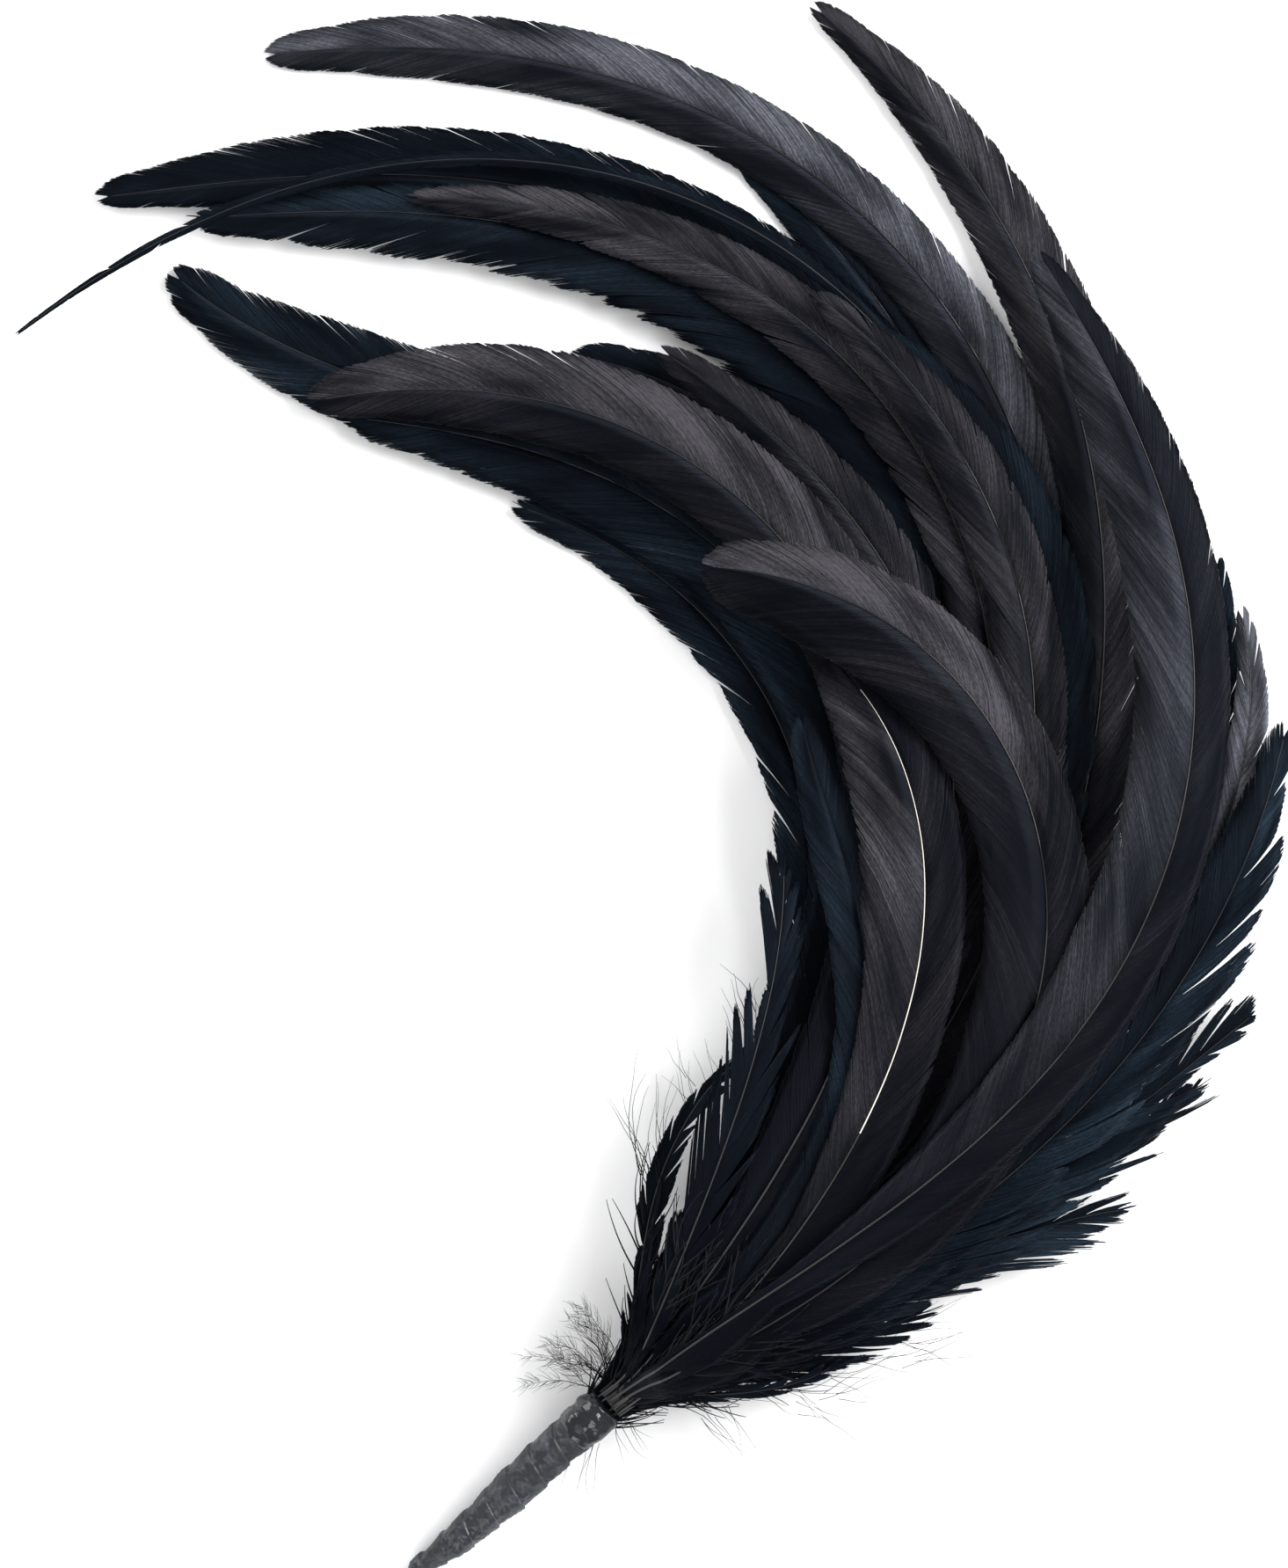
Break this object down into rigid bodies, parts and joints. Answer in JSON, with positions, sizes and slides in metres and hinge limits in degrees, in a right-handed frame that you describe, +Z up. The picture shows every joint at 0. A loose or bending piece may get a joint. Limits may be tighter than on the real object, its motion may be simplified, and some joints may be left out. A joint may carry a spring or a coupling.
{
  "type": "coque feather mount",
  "caption": "Fan of black curled rooster tail feathers bound by their quills to a short tapered stem wrapped in florist tape, lying flat.",
  "frame": {"origin": "middle of the mount's box, on the table it lies on", "axes": "+X to the right and +Y up the plumage as it lies, +Z up from the table; the stem points to -X -Y"},
  "size_m": [0.2486, 0.3062, 0.0285],
  "materials": {
    "blue_vane": "dyed blue-black feather vane, satin",
    "brown_vane": "dyed brown-black feather vane, satin with a grey sheen",
    "grey_vane": "dyed black feather vane with a pale satin sheen",
    "quill": "horn",
    "tape": "waxed crepe paper, wrinkled",
    "thread": "waxed binding thread",
    "glue": "set glue, glossy",
    "wire": "annealed florist wire"
  },
  "bodies": {
    "stem": {"stub_wire": "wire", "binding_thread": "thread", "glue_collar": "glue", "stem_tape": "tape", "crest_under": "blue_vane", "peek_small": "blue_vane", "inner_blue": "blue_vane", "upper_low_sickle": "blue_vane", "lower_left_sickle": "blue_vane", "crest_sickle": "grey_vane", "under_fringe": "blue_vane", "broad_left_under": "blue_vane", "upper_left_sickle": "blue_vane", "spire_sickle": "brown_vane", "low_fringe": "blue_vane", "rim_split_low": "blue_vane", "base_strand": "blue_vane", "upper_mid_sickle": "blue_vane", "rim_split_high": "blue_vane", "mid_fan_c": "blue_vane", "rim_point": "blue_vane", "quill_rim_grey": "quill", "quill_rim_sickle": "quill", "quill_sheen_sickle": "quill", "quill_ribbon_sickle": "quill", "quill_mid_fan_b": "quill", "quill_base_curl": "quill", "quill_mid_fan_a": "quill", "quill_broad_left": "quill", "quill_inner_short": "quill", "quill_pale_quill_left": "quill", "quill_pale_quill": "quill", "quill_curled_top": "quill", "quill_outer_sickle": "quill"},
    "middle_feathers": {"rim_grey": "grey_vane", "rim_sickle": "blue_vane", "sheen_sickle": "brown_vane", "ribbon_sickle": "blue_vane", "mid_fan_b": "brown_vane", "base_curl": "blue_vane"},
    "top_feathers": {"mid_fan_a": "brown_vane", "broad_left": "brown_vane", "inner_short": "blue_vane", "pale_quill_left": "blue_vane", "pale_quill": "brown_vane"},
    "curled_feather": {"curled_top": "brown_vane"},
    "outer_feather": {"outer_sickle": "grey_vane"}
  },
  "joints": [
    {"name": "middle_lift", "type": "hinge", "parent": "stem", "child": "middle_feathers", "pos_m": [-0.00911, -0.11894, 0.0095], "axis": [0.6157, -0.788, 0], "range_deg": [0, 5], "stiffness_Nm_per_rad": 0.02},
    {"name": "top_lift", "type": "hinge", "parent": "middle_feathers", "child": "top_feathers", "pos_m": [-0.00911, -0.11894, 0.0095], "axis": [0.6157, -0.788, 0], "range_deg": [0, 5], "stiffness_Nm_per_rad": 0.02},
    {"name": "curled_lift", "type": "hinge", "parent": "top_feathers", "child": "curled_feather", "pos_m": [-0.00911, -0.11894, 0.0095], "axis": [0.6157, -0.788, 0], "range_deg": [0, 6], "stiffness_Nm_per_rad": 0.02},
    {"name": "outer_lift", "type": "hinge", "parent": "curled_feather", "child": "outer_feather", "pos_m": [-0.00911, -0.11894, 0.0095], "axis": [0.6157, -0.788, 0], "range_deg": [0, 6], "stiffness_Nm_per_rad": 0.02}
  ]
}
